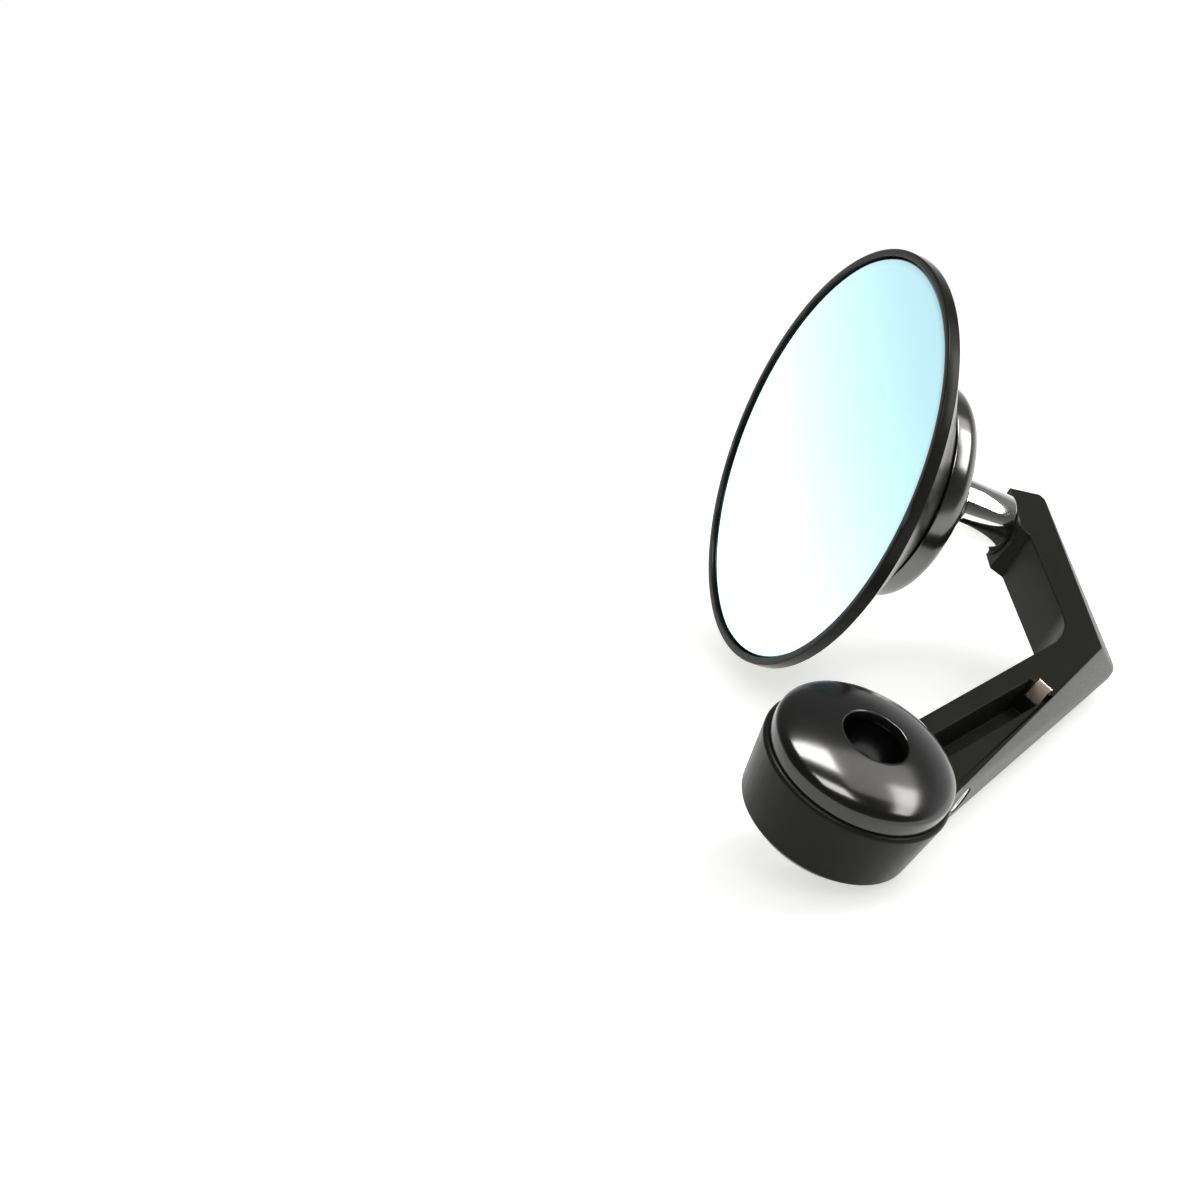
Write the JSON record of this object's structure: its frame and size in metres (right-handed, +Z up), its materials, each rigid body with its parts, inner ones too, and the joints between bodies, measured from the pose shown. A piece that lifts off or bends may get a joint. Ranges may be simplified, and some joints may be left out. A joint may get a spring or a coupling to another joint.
{
  "type": "motorcycle bar end mirror",
  "caption": "Round convex bar end mirror on a ball stud, with a flat cranked arm and a round clamp boss that bolts to a handlebar's end.",
  "frame": {"origin": "centre of the bar bolt bore on the boss's back face", "axes": "+X along the bore, outward from the handlebar's end; +Z up; the glass faces -Y, towards the rider"},
  "size_m": [0.0798, 0.0903, 0.1425],
  "materials": {
    "arm_black": "satin black anodised",
    "head_black": "satin black anodised",
    "cap_black": "gloss black",
    "chrome": "polished",
    "stainless": "plain stainless steel",
    "spring_steel": "plain spring steel",
    "acetal": "natural acetal",
    "rubber": "black rubber",
    "foam": "black foam adhesive",
    "mirror_glass": "blue tinted convex mirror"
  },
  "bodies": {
    "arm": {"arm": "arm_black", "end_cap": "cap_black", "cap_ring_seal": "rubber", "side_grub_screw": "stainless", "ball_stud": "chrome", "stud_screw": "stainless"},
    "liner": {"ball_liner": "acetal"},
    "seat": {"ball_seat": "acetal", "thrust_washer": "spring_steel", "disc_spring": "spring_steel"},
    "head": {"hub_ring": "head_black", "head_shell": "head_black", "glass": "mirror_glass", "glass_pad": "foam"}
  },
  "joints": [
    {"name": "ball_turn", "type": "hinge", "parent": "arm", "child": "liner", "pos_m": [0.01019, 0.0344, 0.08432], "axis": [-0.0091, 0.0867, 0.9962], "range_deg": [-18, 18]},
    {"name": "ball_tilt", "type": "hinge", "parent": "liner", "child": "seat", "pos_m": [0.01019, 0.0344, 0.08432], "axis": [0.9945, 0.1045, 0], "range_deg": [-18, 18]},
    {"name": "head_spin", "type": "hinge", "parent": "seat", "child": "head", "pos_m": [0.01019, 0.0344, 0.08432], "axis": [-0.1041, 0.9907, -0.0872], "continuous": true}
  ]
}
